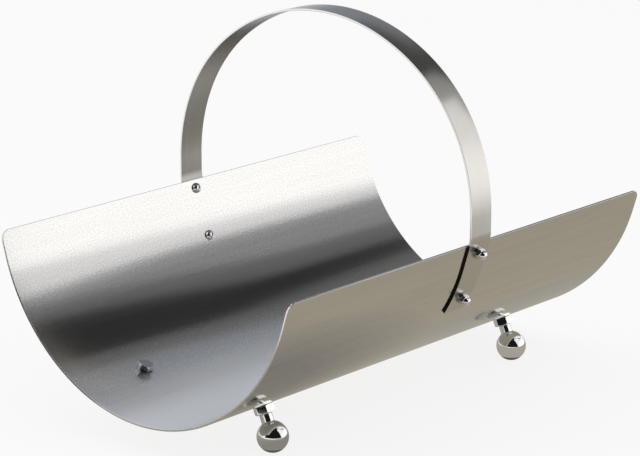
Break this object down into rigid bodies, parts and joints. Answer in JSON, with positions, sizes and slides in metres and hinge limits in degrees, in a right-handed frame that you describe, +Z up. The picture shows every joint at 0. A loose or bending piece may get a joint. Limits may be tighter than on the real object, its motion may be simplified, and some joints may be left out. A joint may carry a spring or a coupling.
{
  "type": "log holder",
  "caption": "Trough of rolled sheet steel on ball feet, with a flat strap handle bolted over it, for holding firewood beside a hearth.",
  "frame": {"origin": "on the floor, under the middle of the trough", "axes": "+X along the trough towards its rear end, +Y across it to the left, +Z up"},
  "size_m": [0.53, 0.3838, 0.377],
  "materials": {
    "sheet": "satin stainless sheet with a fine grain along the trough",
    "strap": "satin flat bar with its grain along the bar",
    "plain": "plain bright fasteners, lightly worn",
    "polished": "mirror polished"
  },
  "bodies": {
    "root": {"trough": "sheet", "handle_strap": "strap", "handle_bolt_left_upper": "polished", "handle_bolt_left_lower": "polished", "handle_bolt_right_upper": "polished", "handle_bolt_right_lower": "polished", "handle_washer_left_upper": "plain", "handle_washer_left_lower": "plain", "handle_washer_right_upper": "plain", "handle_washer_right_lower": "plain", "cap_nut_left_upper": "polished", "cap_nut_left_lower": "polished", "cap_nut_right_upper": "polished", "cap_nut_right_lower": "polished", "foot_bolt_front_left": "plain", "foot_bolt_front_right": "plain", "foot_bolt_rear_left": "plain", "foot_bolt_rear_right": "plain", "foot_washer_front_left": "plain", "foot_washer_front_right": "plain", "foot_washer_rear_left": "plain", "foot_washer_rear_right": "plain", "foot_nut_front_left": "polished", "foot_nut_front_right": "polished", "foot_nut_rear_left": "polished", "foot_nut_rear_right": "polished", "ball_foot_front_left": "polished", "ball_foot_front_right": "polished", "ball_foot_rear_left": "polished", "ball_foot_rear_right": "polished"}
  },
  "joints": []
}
